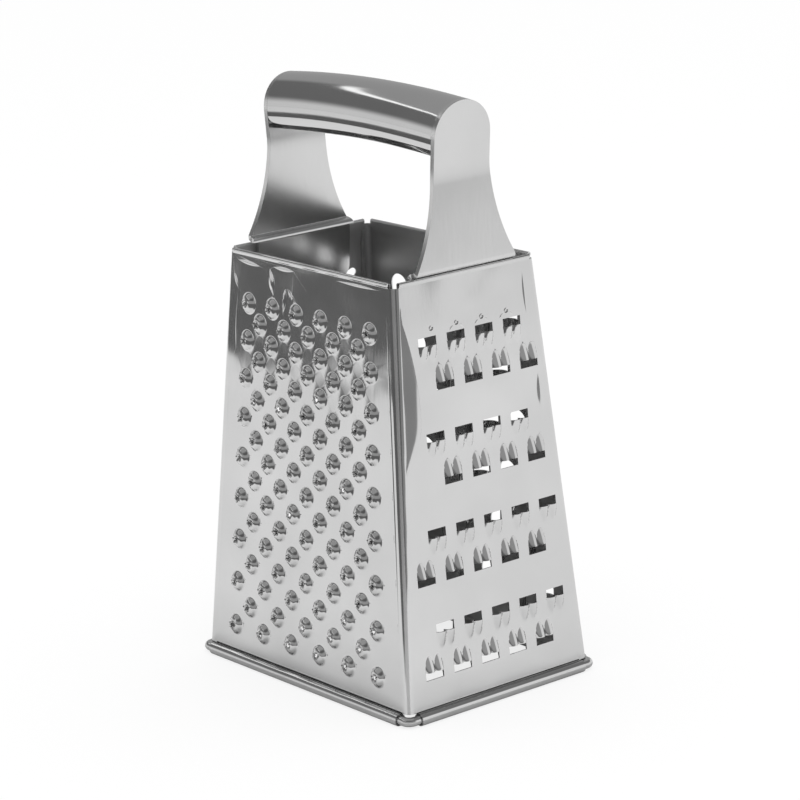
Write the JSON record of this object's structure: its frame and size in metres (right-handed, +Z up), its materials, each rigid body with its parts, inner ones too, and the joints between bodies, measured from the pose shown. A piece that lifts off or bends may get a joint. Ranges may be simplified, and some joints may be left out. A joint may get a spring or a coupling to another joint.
{
  "type": "box grater",
  "caption": "Four-sided tapered box grater in sheet steel on a wired base, with a hollow grip carried by two flared legs.",
  "frame": {"origin": "centre of the base, on the surface that the grater stands on", "axes": "+Z up; +X along the grip, towards the wall with medium teeth; -Y out of the wall with rasp domes"},
  "size_m": [0.118, 0.088, 0.2085],
  "materials": {
    "wall_steel": "bright rolled stainless sheet",
    "leg_steel": "satin stainless plate",
    "grip_steel": "polished stainless tube",
    "wire_steel": "drawn steel wire"
  },
  "bodies": {
    "root": {"rasp_wall": "wall_steel", "coarse_wall": "wall_steel", "medium_wall": "wall_steel", "slicer_wall": "wall_steel", "base_wire": "wire_steel", "handle_leg_right": "leg_steel", "handle_leg_left": "leg_steel", "grip_shell": "grip_steel", "grip_strip": "grip_steel"}
  },
  "joints": []
}
